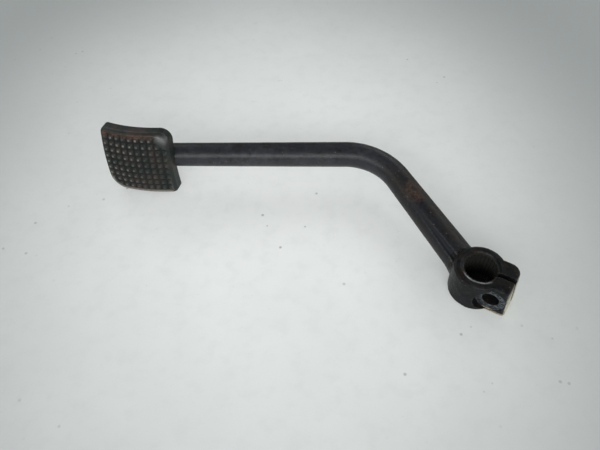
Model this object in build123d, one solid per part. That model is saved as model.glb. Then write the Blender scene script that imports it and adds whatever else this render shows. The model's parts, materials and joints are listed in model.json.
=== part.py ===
from build123d import *
import math
import os

# A foot lever of a small motorcycle: a forged, tapered round bar with one bend, a split clamp
# boss that grips a serrated shaft, and a rubber foot pad on a curved steel plate.
# Millimetres. Origin on the axis of the clamp bore, level with the boss's lower face.
# +Z runs up along the bore, +X along the straight bar from the pad towards the bend.

# Clamp boss
boss_radius = 11.0
boss_height = 16.0
boss_edge_round = 1.5
bore_crest_radius = 6.6
bore_root_radius = 6.95
bore_mouth_width = 1.3
bore_mouth_depth = 0.55
serration_count = 28
serration_groove_width = 0.75

# Clamp ears: the slit runs along lug_angle, and the pinch bolt crosses it at a right angle.
# The ears' end has a forging draft: it leans in by lug_end_lean from the lower face to the top.
# The far ear is lug_end_skew longer than the near one.
lug_angle = -29.5
lug_length = 15.6
lug_end_lean = 1.4
lug_end_skew = 1.0
lug_near_depth = 7.7
lug_far_depth = 8.3
lug_near_corner = 1.6
lug_far_corner = 4.5
lug_edge_round = 1.0
slit_width = 1.9
pinch_offset = 8.2
pinch_height = 7.5
pinch_clearance_radius = 3.5
pinch_core_radius = 2.5
spot_face_radius = 6.2
spot_face_distance = 7.0

# Bar: its axis runs straight to the corner, bends there and ends inside the boss
bar_corner = Vector(-36.3, 62.4, 16.8)
arm_foot = Vector(-0.27, 0.05, 7.0)
bar_end_x = -152.0
bar_tip_radius = 5.3
bend_bar_radius = 5.8
arm_root_radius = 6.9
bend_radius = 27.0

# Fuller groove along the arm, deepest beside the boss
groove_tool_radius = 2.6
groove_depth = 1.1
groove_start = 4.0
groove_tool_clearance = 0.5
groove_tilt = 44.0

# Foot pad: a domed, nearly square pad that leans back and is turned a little to the left
pad_centre = Vector(-147.3, 53.7, 18.1)
pad_yaw = 12.0
pad_lean = 11.0
pad_roll = 3.8
pad_width = 32.4
pad_height = 32.2
pad_corner_radii = {(-1, 1): 2.3, (1, 1): 5.5, (1, -1): 2.3, (-1, -1): 7.5}
dome_radius_across = 60.0
dome_radius_up = 72.0
tread_depth = 2.8
plate_thickness = 2.0
lip_depth = 1.2
plate_inset = 1.4
lip_inset = 3.4
smallest_corner = 0.8
pad_front_round = 1.9
bar_notch_gap = 0.35
dome_half_height = 20.0
pad_block_below = 14.0
pad_block_height = 20.0
clear_in_front = 4.0
clear_around = 2.0
rim_tolerance = 0.05

# Studs on the tread
stud_pitch = 3.15
stud_columns = 10
stud_rows = 9
stud_groove_depth = 0.85
stud_groove_half_width = 0.95

# Welds: a U-shaped bead round the bar's end, and a collar where the arm meets the boss
pad_weld_radius = 2.2
pad_weld_half_width = 5.2
pad_weld_open_end = 9.5
pad_weld_sink = 0.8
pad_weld_turn_radius = 4.6
boss_weld_radius = 7.35
boss_weld_reach = 16.0
boss_weld_sink = 5.4
boss_weld_feather = 0.3

# How far a cutting tool runs past the surface that it cuts
overshoot = 1.0

boss_middle = Vector(0, 0, boss_height / 2)
dome_centre = dome_radius_across - dome_radius_up
meridian = Plane(origin=(0, 0, 0), x_dir=(0, 0, 1), z_dir=(-1, 0, 0))
equator = Plane(origin=(0, 0, 0), x_dir=(0, 0, 1), z_dir=(0, 1, 0))
bar_start = Vector(bar_end_x, bar_corner.Y, bar_corner.Z)
bar_axis = FilletPolyline(bar_start, bar_corner, arm_foot, radius=bend_radius)
bend_arc = bar_axis.edges().filter_by(GeomType.CIRCLE)[0]
bend_start = bend_arc @ 0
bend_end = bend_arc @ 1
arm_direction = (arm_foot - bend_end).normalized()

lug_frame = Rot(0, 0, lug_angle)


def tapered_rod(start, end, start_radius, end_radius):
    length = (end - start).length
    rod = Cone(start_radius, end_radius, length, align=(Align.CENTER, Align.CENTER, Align.MIN))
    return Plane(origin=start, z_dir=end - start) * rod


def round_rod(start, end, radius):
    length = (end - start).length
    rod = Cylinder(radius, length, align=(Align.CENTER, Align.CENTER, Align.MIN))
    return Plane(origin=start, z_dir=end - start) * rod


# ---------------------------------------------------------------- clamp boss
def ear_outline(length):
    near_side = -lug_near_depth
    far_side = lug_far_depth
    near_place = (length, near_side)
    far_place = (length + lug_end_skew, far_side)
    outline = make_face(Polyline((0, near_side), near_place, far_place, (0, far_side), close=True))
    near_corner = outline.vertices().sort_by_distance(near_place)[0]
    outline = fillet(near_corner, lug_near_corner)
    far_corner = outline.vertices().sort_by_distance(far_place)[0]
    return fillet(far_corner, lug_far_corner)


def boss_blank():
    barrel = Cylinder(boss_radius, boss_height, align=(Align.CENTER, Align.CENTER, Align.MIN))
    barrel = fillet(barrel.edges().filter_by(GeomType.CIRCLE), boss_edge_round)
    upper_outline = Pos(0, 0, boss_height) * ear_outline(lug_length - lug_end_lean)
    lug = loft([ear_outline(lug_length), upper_outline])
    faces = lug.faces().sort_by(Axis.Z)
    outer_edges = faces[0].edges() + faces[-1].edges()
    outer_edges = outer_edges.filter_by(lambda edge: edge.center().X > lug_edge_round)
    lug = fillet(outer_edges, lug_edge_round)
    return barrel + lug_frame * lug


def serrated_bore():
    cutter_height = boss_height + 2 * overshoot
    cutter = Cylinder(bore_crest_radius, cutter_height)
    groove_length = bore_root_radius - bore_crest_radius + overshoot
    groove = Box(groove_length, serration_groove_width, cutter_height)
    groove = Pos(bore_root_radius - groove_length / 2, 0, 0) * groove
    for index in range(serration_count):
        cutter += Rot(0, 0, 360 * index / serration_count) * groove
    cutter = Pos(boss_middle) * cutter
    mouth = Cone(bore_root_radius + bore_mouth_width, bore_root_radius, bore_mouth_depth,
                 align=(Align.CENTER, Align.CENTER, Align.MIN))
    cutter += mouth
    cutter += Pos(0, 0, boss_height) * Rot(180, 0, 0) * mouth
    return cutter


def pinch_cutters():
    slit = Box(2 * boss_radius, slit_width, boss_height + 2 * overshoot)
    slit = Pos(boss_radius, 0, boss_height / 2) * slit
    across = Plane(origin=(pinch_offset, 0, pinch_height), z_dir=(0, 1, 0))
    clearance = Cylinder(pinch_clearance_radius, 2 * boss_radius,
                         align=(Align.CENTER, Align.CENTER, Align.MAX))
    core = Cylinder(pinch_core_radius, 2 * boss_radius,
                    align=(Align.CENTER, Align.CENTER, Align.MIN))
    spot_face = Cylinder(spot_face_radius, boss_radius,
                         align=(Align.CENTER, Align.CENTER, Align.MAX))
    cutter = slit + across * clearance + across * core
    cutter += across * Pos(0, 0, -spot_face_distance) * spot_face
    return lug_frame * cutter


def clamp_boss():
    return boss_blank() - serrated_bore() - pinch_cutters()


# ---------------------------------------------------------------- foot pad
def pad_frame():
    yaw = math.radians(pad_yaw)
    lean = math.radians(pad_lean)
    across = Vector(math.cos(yaw), -math.sin(yaw), 0)
    outward = Vector(-math.sin(yaw) * math.cos(lean), -math.cos(yaw) * math.cos(lean), math.sin(lean))
    plane = Plane(origin=pad_centre, x_dir=across, z_dir=outward)
    return plane * Rot(0, 0, pad_roll) * Pos(0, 0, -dome_radius_across)


def crown_radius(depth, level):
    """Distance from the local Y axis of the layer at a depth below the tread, at a level."""
    return dome_centre + math.sqrt((dome_radius_up - depth) ** 2 - level ** 2)


def dome_shell(front, back):
    """Doubly curved layer between two depths below the tread's crown, about the local Y axis."""
    outer = dome_arc(front)
    inner = dome_arc(back)
    section = make_face([outer, inner, Line(outer @ 0, inner @ 0), Line(outer @ 1, inner @ 1)])
    return revolve(meridian * section, Axis.Y, 360)


def dome_arc(depth):
    edge = crown_radius(depth, dome_half_height)
    crown = crown_radius(depth, 0)
    return ThreePointArc((edge, -dome_half_height), (crown, 0), (edge, dome_half_height))


def pad_prism(inset):
    """Block with the pad's outline; each corner, named by its side and level, has its own radius."""
    half_width = pad_width / 2 - inset
    half_height = pad_height / 2 - inset
    outline = Rectangle(2 * half_width, 2 * half_height)
    for (side, level), radius in pad_corner_radii.items():
        place = (side * half_width, level * half_height)
        corner = outline.vertices().sort_by_distance(place)[0]
        outline = fillet(corner, max(radius - inset, smallest_corner))
    return Pos(0, 0, dome_radius_across - pad_block_below) * extrude(outline, pad_block_height)


def stud_grooves():
    """V grooves between the studs: rows follow the dome across, columns follow it upwards."""
    half_across = stud_columns * stud_pitch / 2
    half_up = stud_rows * stud_pitch / 2
    deep = stud_groove_depth
    wide = stud_groove_half_width
    grooves = []
    for row in range(stud_rows + 1):
        level = (row - stud_rows / 2) * stud_pitch
        crown = crown_radius(0, level)
        notch = make_face(Polyline((crown - deep, level), (crown + deep, level - 2 * wide),
                                   (crown + deep, level + 2 * wide), close=True))
        sweep_angle = math.degrees(2 * half_across / dome_radius_across)
        groove = revolve(meridian * notch, Axis.Y, sweep_angle)
        grooves.append(Rot(0, -sweep_angle / 2, 0) * groove)
    turning_axis = Axis((0, 0, dome_centre), (1, 0, 0))
    crown = crown_radius(0, 0)
    notch = make_face(Polyline((crown - deep, 0), (crown + deep, -2 * wide),
                               (crown + deep, 2 * wide), close=True))
    for column in range(stud_columns + 1):
        offset = (column - stud_columns / 2) * stud_pitch
        sweep_angle = math.degrees(2 * half_up / dome_radius_up)
        groove = revolve(equator * notch, turning_axis, sweep_angle)
        groove = groove.rotate(turning_axis, -sweep_angle / 2)
        grooves.append(Rot(0, math.degrees(offset / dome_radius_across), 0) * groove)
    return grooves


def foot_plate():
    return pad_frame() * (dome_shell(tread_depth, tread_depth + plate_thickness)
                          & pad_prism(plate_inset))


def pad_rubber():
    back = tread_depth + plate_thickness + lip_depth
    body = dome_shell(0, back) & pad_prism(0)
    front_rim = body.edges().filter_by(is_on_front)
    body = fillet(front_rim, pad_front_round)
    for groove in stud_grooves():
        body -= groove
    body -= dome_shell(tread_depth, tread_depth + plate_thickness) & pad_prism(plate_inset)
    body -= dome_shell(tread_depth + plate_thickness, back + overshoot) & pad_prism(lip_inset)
    notch = round_rod(bar_start, bend_start, bar_tip_radius + bar_notch_gap)
    return pad_frame() * body - notch


def is_on_front(edge):
    """True for a rim edge that lies on the tread's front surface."""
    point = edge @ 0.5
    return abs(math.hypot(point.X, point.Z) - crown_radius(0, point.Y)) < rim_tolerance


# ---------------------------------------------------------------- bar and welds
def lever_arm(boss_solid, plate_back_block):
    bend_section = Plane(origin=bend_start, z_dir=bend_arc % 0) * Circle(bend_bar_radius)
    bend = sweep(bend_section, path=bend_arc)
    straight = tapered_rod(bar_start, bend_start, bar_tip_radius, bend_bar_radius)
    arm = tapered_rod(bend_end, arm_foot, bend_bar_radius, arm_root_radius)
    arm -= fuller_groove()
    bar = straight + bend + arm
    return bar - boss_solid - above_boss() - plate_back_block


def above_boss():
    """Space over the boss's flat top, which the arm must leave free."""
    radius = boss_radius - boss_edge_round
    column = Cylinder(radius, boss_height, align=(Align.CENTER, Align.CENTER, Align.MIN))
    return Pos(0, 0, boss_height / 2) * column


def fuller_groove():
    side = arm_direction.cross(Vector(0, 0, 1)).normalized()
    over = side.cross(arm_direction).normalized()
    tilt = math.radians(groove_tilt)
    outward = over * math.cos(tilt) + side * math.sin(tilt)
    start = bend_end + arm_direction * groove_start
    arm_length = (arm_foot - bend_end).length
    taper = (arm_root_radius - bend_bar_radius) / arm_length
    start_radius = bend_bar_radius + taper * groove_start
    top = start + outward * (start_radius + groove_tool_radius + groove_tool_clearance)
    bottom = arm_foot + outward * (arm_root_radius + groove_tool_radius - groove_depth)
    return round_rod(top, bottom, groove_tool_radius)


def boss_weld(arm_solid, boss_solid):
    outer = arm_foot - arm_direction * boss_weld_reach
    inner = arm_foot - arm_direction * boss_weld_sink
    collar = tapered_rod(outer, inner, arm_root_radius - boss_weld_feather, boss_weld_radius)
    return collar - fuller_groove() - arm_solid - boss_solid - above_boss()


def foot_plate_weld(arm_solid, plate_solid, rubber_solid):
    seat = dome_radius_across - tread_depth - plate_thickness
    end_seat = seat - pad_weld_sink
    path = FilletPolyline((pad_weld_open_end, pad_weld_half_width, end_seat),
                          (-pad_weld_half_width, pad_weld_half_width, seat),
                          (-pad_weld_half_width, -pad_weld_half_width, seat),
                          (pad_weld_open_end, -pad_weld_half_width, end_seat),
                          radius=pad_weld_turn_radius)
    bead = sweep(Plane(origin=path @ 0, z_dir=path % 0) * Circle(pad_weld_radius), path=path)
    bead = pad_frame() * bead - arm_solid - plate_solid - rubber_solid
    return bead.solids().sort_by(SortBy.VOLUME)[-1]


def save(name, solid):
    export_step(solid, "parts/" + name + ".step")


os.makedirs("parts", exist_ok=True)

solid_boss = boss_blank()
plate = foot_plate()
space_over_plate = dome_shell(-clear_in_front, tread_depth + plate_thickness)
plate_block = pad_frame() * (space_over_plate & pad_prism(-clear_around))
rubber = pad_rubber()
arm = lever_arm(solid_boss, plate_block)
weld_at_boss = boss_weld(arm, solid_boss)
weld_at_plate = foot_plate_weld(arm, plate, rubber)

save("clamp_boss", clamp_boss())
save("lever_arm", arm)
save("boss_weld", weld_at_boss)
save("foot_plate", plate)
save("pad_rubber", rubber)
save("foot_plate_weld", weld_at_plate)
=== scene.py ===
import json
import math

import bpy
import numpy as np
from mathutils import Matrix, Vector, noise


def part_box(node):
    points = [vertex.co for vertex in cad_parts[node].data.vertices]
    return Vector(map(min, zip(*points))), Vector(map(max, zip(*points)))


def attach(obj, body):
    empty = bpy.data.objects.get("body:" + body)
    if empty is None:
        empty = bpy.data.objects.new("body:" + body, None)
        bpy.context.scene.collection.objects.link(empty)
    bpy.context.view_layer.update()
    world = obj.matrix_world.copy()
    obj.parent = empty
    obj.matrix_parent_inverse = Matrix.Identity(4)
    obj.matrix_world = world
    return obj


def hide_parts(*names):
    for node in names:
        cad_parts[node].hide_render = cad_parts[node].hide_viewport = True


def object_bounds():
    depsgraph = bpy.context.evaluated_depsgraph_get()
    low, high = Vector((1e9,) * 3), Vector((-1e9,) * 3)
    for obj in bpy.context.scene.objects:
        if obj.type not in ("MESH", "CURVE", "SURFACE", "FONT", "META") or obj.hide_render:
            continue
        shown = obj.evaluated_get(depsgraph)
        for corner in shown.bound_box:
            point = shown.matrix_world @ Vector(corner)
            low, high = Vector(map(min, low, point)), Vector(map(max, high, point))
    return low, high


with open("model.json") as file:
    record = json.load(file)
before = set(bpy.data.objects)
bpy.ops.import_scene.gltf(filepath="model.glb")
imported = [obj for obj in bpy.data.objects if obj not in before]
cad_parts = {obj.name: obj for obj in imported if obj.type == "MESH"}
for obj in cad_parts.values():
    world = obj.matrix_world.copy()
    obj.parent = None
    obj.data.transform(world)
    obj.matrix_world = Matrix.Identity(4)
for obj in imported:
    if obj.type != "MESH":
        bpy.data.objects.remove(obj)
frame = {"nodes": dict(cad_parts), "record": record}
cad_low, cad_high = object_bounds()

# A motorcycle's foot lever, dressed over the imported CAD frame. Metres, in the frame's own axes:
# origin on the clamp bore at the boss's lower face, +Z up the bore, +X along the straight bar.
MM = 0.001
BODY = "root"
mounts = {mount["name"]: mount for mount in frame["record"]["mounts"]}
pinch_axis = np.array(mounts["pinch_clearance_hole"]["axis"], float)

# The bar's axis and radii, as the CAD model has them
BAR_CORNER = Vector((-36.3, 62.4, 16.8)) * MM
ARM_FOOT = Vector((-0.27, 0.05, 7.0)) * MM
BAR_END_X = -152.0 * MM
TIP_RADIUS = 5.3 * MM
BEND_BAR_RADIUS = 5.8 * MM
ROOT_RADIUS = 6.9 * MM
BEND_RADIUS = 27.0 * MM
ARM_STOP = 7.6 * MM
TIP_ROUND = 0.9 * MM
RING_POINTS = 160
BAR_STEP = 0.4 * MM

# Fuller groove along the arm
GROOVE_TOOL = 2.6 * MM
GROOVE_DEPTH = 1.1 * MM
GROOVE_START = 4.0 * MM
GROOVE_CLEARANCE = 0.5 * MM
GROOVE_TILT = math.radians(44.0)
GROOVE_SOFTNESS = 0.22 * MM
GROOVE_SHADE_RISE = 12.0 * MM

# Clamp boss
BOSS_RADIUS = 11.0 * MM
BOSS_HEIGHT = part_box("clamp_boss")[1].z
BORE_RADIUS = mounts["clamp_bore"]["dims"]["r_mm"] * MM
BORE_GROOVE = 0.35 * MM
SEAT_RADIUS = 6.2 * MM
SEAT_DISTANCE = 7.0 * MM
LUG_ANGLE = math.radians(-29.5)
LUG_LENGTH = 15.6 * MM
RIM_HIGHLIGHT_BEARING = (-0.42, -0.91)
BOSS_VOXEL = 0.16 * MM
FORGING_MARK = 3.4 * MM
FORGING_DEPTH = 0.2 * MM

# Collar between the boss and the arm
COLLAR_REACH = 16.0 * MM
COLLAR_OVERLAP = 0.2 * MM
COLLAR_RINGS = 36
COLLAR_SINK = 0.12 * MM
COLLAR_SWELL = 0.75 * MM
COLLAR_OVER_BOSS = 0.45 * MM

# Foot pad, in its own frame: local Z points out of the tread, and the dome turns about local Y
PAD_CENTRE = Vector((-147.3, 53.7, 18.1)) * MM
PAD_YAW = math.radians(12.0)
PAD_LEAN = math.radians(11.0)
PAD_ROLL = math.radians(3.8)
PAD_HALF = np.array([16.2, 16.1]) * MM
PAD_CORNERS = {(-1, 1): 2.3 * MM, (1, 1): 5.5 * MM, (1, -1): 2.3 * MM, (-1, -1): 7.5 * MM}
DOME_ACROSS = 60.0 * MM
DOME_UP = 72.0 * MM
TREAD_DEPTH = 2.8 * MM
PLATE_BACK = 4.8 * MM
PAD_BACK = 6.0 * MM
PLATE_INSET = 1.4 * MM
LIP_INSET = 3.4 * MM
LIP_ROUND = 0.3 * MM
WALL_ROUND = 0.7 * MM
INNER_DEPTH = PLATE_BACK - 0.9 * MM
SMALLEST_CORNER = 0.8 * MM
RIM_ROUND = 1.9 * MM
BAR_GAP = 0.35 * MM
PRESSED_SHARE = 0.98
PLATE_EDGE = 0.9 * MM
PLATE_FIT = 0.05 * MM
PLATE_GRID_STEP = 0.5 * MM
STUD_PITCH = 3.15 * MM
STUD_COLUMNS = 10
STUD_ROWS = 9
STUD_DEPTH = 0.85 * MM
STUD_FLANK = 1.40 * MM
STUD_TIP = 0.24
STUD_WEAR = 0.16
TIP_HIGHLIGHT_FADE = (10 * MM, -6 * MM)
TREAD_FADE = (-0.1 * MM, 0.9 * MM)
TREAD_RIM = (0.7 * MM, 2.4 * MM)
BULGE_INSET = 2.5 * MM
BULGE_RADIUS = 4.9 * MM
BULGE_ROLL = 0.8 * MM
BULGE_SPREAD = 0.75
BULGE_ROLL_FADE = (0.0, 5.5 * MM)
BULGE_FADE = (3.0 * MM, 6.0 * MM)
PAD_GRID_STEP = 0.14 * MM

# Bands of the tread, the worn crest and the painted highlight along the lower lip: the distance of each
# band's middle from the outline, and its half width
CREST_BAND = (1.9 * MM, 1.15 * MM)
LIP_HIGHLIGHT_BAND = (1.3 * MM, 0.50 * MM)

# The heights on the pad between which the bands come in, and distances inwards from the outline
CREST_RISE = (11 * MM, 14 * MM)
LOWER_RISE = (-5 * MM, -12 * MM)
LOWER_START = (1.0 * MM, 2.5 * MM)
BORDER = (1.6 * MM, 3.4 * MM)

# Weld bead on the plate's back, round the bar's end
BEAD_RADIUS = 2.2 * MM
BEAD_HALF_WIDTH = 5.2 * MM
BEAD_OPEN_END = 9.5 * MM
BEAD_TURN = 4.6 * MM
BEAD_RIPPLE = 1.15 * MM
BEAD_END = 1.5 * MM
BEAD_STEP = 0.2 * MM
BEAD_POINTS = 40
BEAD_SINK = 0.6 * MM
BEAD_RIPPLE_BOW = 0.5 * MM
BEAD_FULLNESS = 0.93
BEAD_RIPPLE_DEPTH = 0.05
BEAD_WAVER = 0.03
BEAD_WAVER_REACH = 2.3 * MM

# Places on the paint, and the painted pool of light and fill glow on the table
RUST_PATCH_SHARE = 0.20
RUST_PATCH_SPAN = 8.0 * MM
POLISHED_MIDDLE = (-0.100, 0.062, 0.017)
POLISHED_REACH = 0.070
LIGHT_POOL_MIDDLE = (-0.085, 0.050, 0.0)
LIGHT_POOL_SPAN = (0.205, 0.270, 1.0)
TABLE_HALF = 4.0
# the board's glow: painted fill light that lifts its shadows
TABLE_GLOW = 0.50

# Light: a ring of low, wide windows, each with its bearing from the front and its power in watts
WINDOWS = ((0, 3.7), (-42, 1.9), (42, 1.6), (-90, 1.2), (90, 1.2), (-140, 1.5), (140, 1.5))
WINDOW_DISTANCE = 0.9
WINDOW_RISE = math.radians(31.0)
WINDOW_SIZE = (0.62, 0.36)
WINDOW_COLOUR = (0.99, 1.0, 0.99)
ROOM_COLOUR = (0.82, 0.84, 0.85, 1.0)
ROOM_STRENGTH = 0.06
BACKDROP_STRENGTH = 0.32

# Camera, above and in front of the lever
CAMERA_PLACE = (-0.073, -0.143, 0.225)
CAMERA_TILT = math.radians(38.2)
CAMERA_LENS = 37.68
CAMERA_SENSOR = 36.0
CAMERA_NEAR = 0.005

random_numbers = np.random.default_rng(11)


# ---------------------------------------------------------------- mesh helpers
def smoothstep(low, high, value):
    t = np.clip((value - low) / (high - low), 0.0, 1.0)
    return t * t * (3.0 - 2.0 * t)


def make_piece(name, points, faces):
    mesh = bpy.data.meshes.new(name)
    mesh.from_pydata([tuple(p) for p in points], [], faces)
    mesh.validate()
    mesh.shade_smooth()
    piece = bpy.data.objects.new(name, mesh)
    bpy.context.scene.collection.objects.link(piece)
    return piece


def points_of(piece):
    flat = np.zeros(len(piece.data.vertices) * 3, np.float32)
    piece.data.vertices.foreach_get("co", flat)
    return flat.reshape(-1, 3).astype(float)


def normals_of(piece):
    flat = np.zeros(len(piece.data.vertices) * 3, np.float32)
    piece.data.vertices.foreach_get("normal", flat)
    return flat.reshape(-1, 3).astype(float)


def set_points(piece, points):
    piece.data.vertices.foreach_set("co", points.astype(np.float32).ravel())
    piece.data.update()


def store(piece, name, values):
    """Writes one number a point, which a material reads by name."""
    attribute = piece.data.attributes.new(name, "FLOAT", "POINT")
    attribute.data.foreach_set("value", np.clip(values, 0.0, 1.0).astype(np.float32))


def spread(piece, values, rounds):
    """Averages each point's value with its neighbours', a number of times over."""
    pairs = np.zeros(len(piece.data.edges) * 2, np.int32)
    piece.data.edges.foreach_get("vertices", pairs)
    first, second = pairs.reshape(-1, 2).T
    count = np.bincount(pairs, minlength=len(values)) + 1.0
    result = np.array(values, float)
    for _ in range(rounds):
        total = result.copy()
        for axis in np.ndindex(result.shape[1:]):
            column = (slice(None), *axis)
            total[column] += np.bincount(first, result[column][second], len(result))
            total[column] += np.bincount(second, result[column][first], len(result))
        result = total / count.reshape(-1, *[1] * (result.ndim - 1))
    return result


def edge_wear(piece, rounds, full_height):
    """1 on a sharp outward edge, 0 on a flat face: how far a point stands over its surroundings."""
    points = points_of(piece)
    height = np.sum((points - spread(piece, points, rounds)) * normals_of(piece), axis=1)
    return np.clip(height / full_height, 0.0, 1.0)


def hammer_marks(points, size, octaves):
    """Depth of each point's hammer and scale marks, from 0 to 1."""
    shifts = [noise.fractal(Vector(p) / size, 1.0, 2.0, octaves) for p in points]
    return 0.5 + 0.5 * np.clip(np.array(shifts), -1.0, 1.0)


def roughen(piece, size, amount):
    """Gentle hammer and scale marks, always into the metal."""
    points = points_of(piece)
    depth = amount * hammer_marks(points, size, 3)
    set_points(piece, points - normals_of(piece) * depth[:, None])


def grid_faces(columns, rows, first=0, flipped=False):
    """Faces of a grid of points whose rows run along the second axis."""
    faces = []
    for i in range(columns - 1):
        for j in range(rows - 1):
            a = first + i * rows + j
            if flipped:
                faces.append((a, a + 1, a + rows + 1, a + rows))
            else:
                faces.append((a, a + rows, a + rows + 1, a + 1))
    return faces


def tube(rings):
    """Points and faces of a row of equal rings, with a fan over each end."""
    around = len(rings[0])
    points = np.concatenate([*rings, [rings[0].mean(axis=0)], [rings[-1].mean(axis=0)]])
    first_middle = len(rings) * around
    last_ring = first_middle - around
    faces = []
    for k in range(around):
        after = (k + 1) % around
        for low in range(0, last_ring, around):
            faces.append((low + k, low + after, low + around + after, low + around + k))
        faces.append((first_middle, after, k))
        faces.append((first_middle + 1, last_ring + k, last_ring + after))
    return points, faces


def finish_piece(piece, material, slot, *nodes):
    piece.data.materials.clear()
    piece.data.materials.append(material)
    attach(piece, BODY)
    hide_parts(*nodes)


# ---------------------------------------------------------------- bar geometry
bar_direction = Vector((1.0, 0.0, 0.0))
to_foot = (ARM_FOOT - BAR_CORNER).normalized()
bend_angle = bar_direction.angle(to_foot)
tangent_length = BEND_RADIUS * math.tan(bend_angle / 2)
bend_start = BAR_CORNER - bar_direction * tangent_length
bend_end = BAR_CORNER + to_foot * tangent_length
arm_length = (ARM_FOOT - bend_end).length
bend_normal = bar_direction.cross(to_foot).normalized()
bend_centre = bend_start + bend_normal.cross(bar_direction) * BEND_RADIUS
bar_start = Vector((BAR_END_X, BAR_CORNER.y, BAR_CORNER.z))
straight_length = (bend_start - bar_start).length
bend_length = BEND_RADIUS * bend_angle
arm_side = to_foot.cross(Vector((0.0, 0.0, 1.0))).normalized()
arm_top = arm_side.cross(to_foot).normalized()
groove_outward = arm_top * math.cos(GROOVE_TILT) + arm_side * math.sin(GROOVE_TILT)
rusty_spot = bend_end + to_foot * (RUST_PATCH_SHARE * arm_length) + arm_top * BEND_BAR_RADIUS


def bar_station(distance):
    """Centre, direction and radius of the bar at a distance from its tip."""
    if distance <= straight_length:
        share = distance / straight_length
        radius = TIP_RADIUS + (BEND_BAR_RADIUS - TIP_RADIUS) * share
        return bar_start + bar_direction * distance, bar_direction, radius
    along = distance - straight_length
    if along <= bend_length:
        turn = Matrix.Rotation(along / BEND_RADIUS, 3, bend_normal)
        centre = bend_centre + turn @ (bend_start - bend_centre)
        return centre, turn @ bar_direction, BEND_BAR_RADIUS
    along -= bend_length
    radius = BEND_BAR_RADIUS + (ROOT_RADIUS - BEND_BAR_RADIUS) * along / arm_length
    return bend_end + to_foot * along, to_foot, radius


def grooved_radius(radius, angle_from_groove, along_arm):
    """Radius of the arm's skin where the groove's round tool may have cut it."""
    travel = (along_arm - GROOVE_START) / (arm_length - GROOVE_START)
    if travel <= 0:
        return radius
    depth = -GROOVE_CLEARANCE + (GROOVE_DEPTH + GROOVE_CLEARANCE) * travel
    tool_centre = radius + GROOVE_TOOL - depth
    reach = tool_centre * np.sin(angle_from_groove)
    under_tool = (np.abs(reach) < GROOVE_TOOL) & (np.cos(angle_from_groove) > 0)
    chord = np.sqrt(np.maximum(GROOVE_TOOL ** 2 - reach ** 2, 0.0))
    cut = np.where(under_tool, tool_centre * np.cos(angle_from_groove) - chord, 2 * radius)
    blend = np.clip(0.5 + 0.5 * (radius - cut) / GROOVE_SOFTNESS, 0.0, 1.0)
    return cut * blend + radius * (1 - blend) - GROOVE_SOFTNESS * blend * (1 - blend)


def ring_of(centre, direction, radius, along_arm=-1.0, offset=0.0):
    """One ring of the bar's skin, with the groove in it where the arm has one."""
    across = bend_normal.cross(direction).normalized()
    angles = np.linspace(0.0, 2 * math.pi, RING_POINTS, endpoint=False)
    groove_angle = math.atan2(groove_outward.dot(bend_normal), groove_outward.dot(across))
    radii = grooved_radius(radius, angles - groove_angle, along_arm) + offset
    cosines = (np.cos(angles) * radii)[:, None] * np.array(across)
    sines = (np.sin(angles) * radii)[:, None] * np.array(bend_normal)
    return np.array(centre) + cosines + sines


# ---------------------------------------------------------------- pad geometry
def pad_matrix():
    across = Vector((math.cos(PAD_YAW), -math.sin(PAD_YAW), 0.0))
    outward = Vector((-math.sin(PAD_YAW) * math.cos(PAD_LEAN),
                      -math.cos(PAD_YAW) * math.cos(PAD_LEAN), math.sin(PAD_LEAN)))
    up = outward.cross(across)
    turn = Matrix((across, up, outward)).transposed().to_4x4()
    lowered = Matrix.Translation((0.0, 0.0, -DOME_ACROSS))
    return Matrix.Translation(PAD_CENTRE) @ turn @ Matrix.Rotation(PAD_ROLL, 4, "Z") @ lowered


pad_to_row = np.array(pad_matrix())
row_to_pad = np.linalg.inv(pad_to_row)


def transformed(matrix, points):
    return points @ matrix[:3, :3].T + matrix[:3, 3]


def crown_radius(depth, level):
    return DOME_ACROSS - DOME_UP + np.sqrt((DOME_UP - depth) ** 2 - level ** 2)


def layer_height(x, y, depth):
    """Local Z of the domed layer at a depth under the tread."""
    return np.sqrt(crown_radius(depth, y) ** 2 - x ** 2)


def corner_radius(x, y, inset=0.0):
    radii = np.zeros(np.broadcast(x, y).shape)
    for (side_x, side_y), radius in PAD_CORNERS.items():
        here = (np.sign(x) == side_x) & (np.sign(y) == side_y)
        radii = np.where(here, max(radius - inset, SMALLEST_CORNER), radii)
    return np.maximum(radii, SMALLEST_CORNER)


def rim_distance(x, y):
    """Distance inwards from the pad's outline."""
    radius = corner_radius(x, y)
    qx = np.abs(x) - PAD_HALF[0] + radius
    qy = np.abs(y) - PAD_HALF[1] + radius
    outside = np.hypot(np.maximum(qx, 0.0), np.maximum(qy, 0.0))
    return radius - outside - np.minimum(np.maximum(qx, qy), 0.0)


def round_the_corners(x, y, inset=0.0):
    """Moves the points of a rectangle's grid so that its corners follow the pad's outline."""
    radius = corner_radius(x, y, inset)
    centre_x = PAD_HALF[0] - inset - radius
    centre_y = PAD_HALF[1] - inset - radius
    u = np.clip((np.abs(x) - centre_x) / radius, 0.0, 1.0)
    v = np.clip((np.abs(y) - centre_y) / radius, 0.0, 1.0)
    in_corner = (u > 0) & (v > 0)
    new_x = np.where(in_corner, centre_x + radius * u * np.sqrt(1 - v * v / 2), np.abs(x))
    new_y = np.where(in_corner, centre_y + radius * v * np.sqrt(1 - u * u / 2), np.abs(y))
    return np.sign(x) * new_x, np.sign(y) * new_y


def rim_spaced(half, step, rim):
    """Even steps across the middle, and closer ones where the rim rolls over."""
    flat = half - rim
    middle = np.linspace(-flat, flat, int(round(2 * flat / step)) + 1)
    turn = np.linspace(0.0, math.pi / 2, 13)[1:]
    roll = flat + rim * np.sin(turn)
    return np.concatenate([-roll[::-1], middle, roll])


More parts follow.
